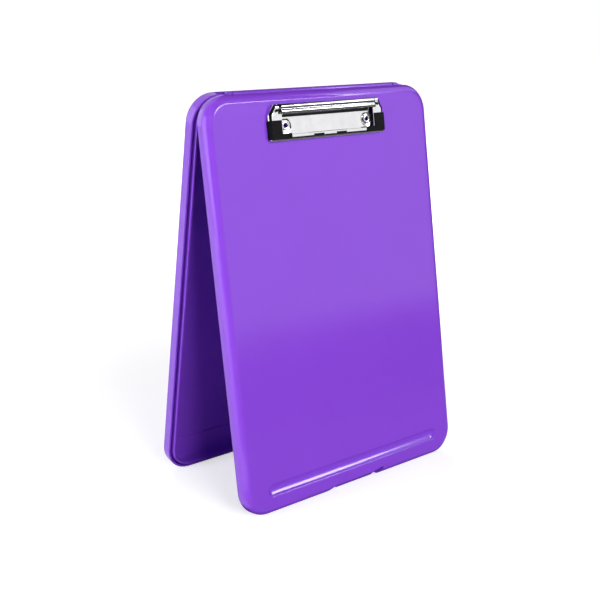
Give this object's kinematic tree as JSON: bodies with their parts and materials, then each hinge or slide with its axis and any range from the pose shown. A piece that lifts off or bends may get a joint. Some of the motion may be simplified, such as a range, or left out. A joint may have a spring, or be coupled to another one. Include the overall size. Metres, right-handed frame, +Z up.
{
  "type": "storage clipboard box",
  "caption": "Hinged purple plastic shells that shut into a shallow paper box, with a chrome sprung clip, pen trough and finger notch, standing open as an upturned V.",
  "frame": {"origin": "on the floor, in the middle of the width, straight below the hinge's axis, with the box standing open on its two bottom edges", "axes": "+X across the board to the right seen from the front, +Y from the cover towards the tray, +Z up"},
  "size_m": [0.24, 0.1324, 0.3379],
  "materials": {
    "tray_plastic": "gloss",
    "cover_plastic": "gloss",
    "clip_chrome": "polished",
    "pin_steel": "satin",
    "spring_steel": "satin",
    "grip_rubber": "matt"
  },
  "bodies": {
    "tray": {"back_tray": "tray_plastic", "hinge_pin_left": "pin_steel", "hinge_pin_right": "pin_steel"},
    "cover": {"front_cover": "cover_plastic", "clip_base_plate": "clip_chrome", "clip_pivot_rod": "pin_steel", "clip_spring_left": "spring_steel", "clip_spring_right": "spring_steel", "rivet_left": "clip_chrome", "rivet_right": "clip_chrome", "rivet_washer_left": "pin_steel", "rivet_washer_right": "pin_steel"},
    "clip": {"clip_jaw": "clip_chrome", "clip_grip_left": "grip_rubber", "clip_grip_right": "grip_rubber"}
  },
  "joints": [
    {"name": "cover_hinge", "type": "hinge", "parent": "tray", "child": "cover", "pos_m": [0, 0, 0.33567], "axis": [-1, 0, 0], "range_deg": [-18.7, 161.3]},
    {"name": "clip_hinge", "type": "hinge", "parent": "cover", "child": "clip", "pos_m": [0, -0.01404, 0.32319], "axis": [-1, 0, 0], "range_deg": [0, 18], "stiffness_Nm_per_rad": 0.07, "springref_deg": -85.94, "deforming": ["clip_spring_left", "clip_spring_right"]}
  ]
}
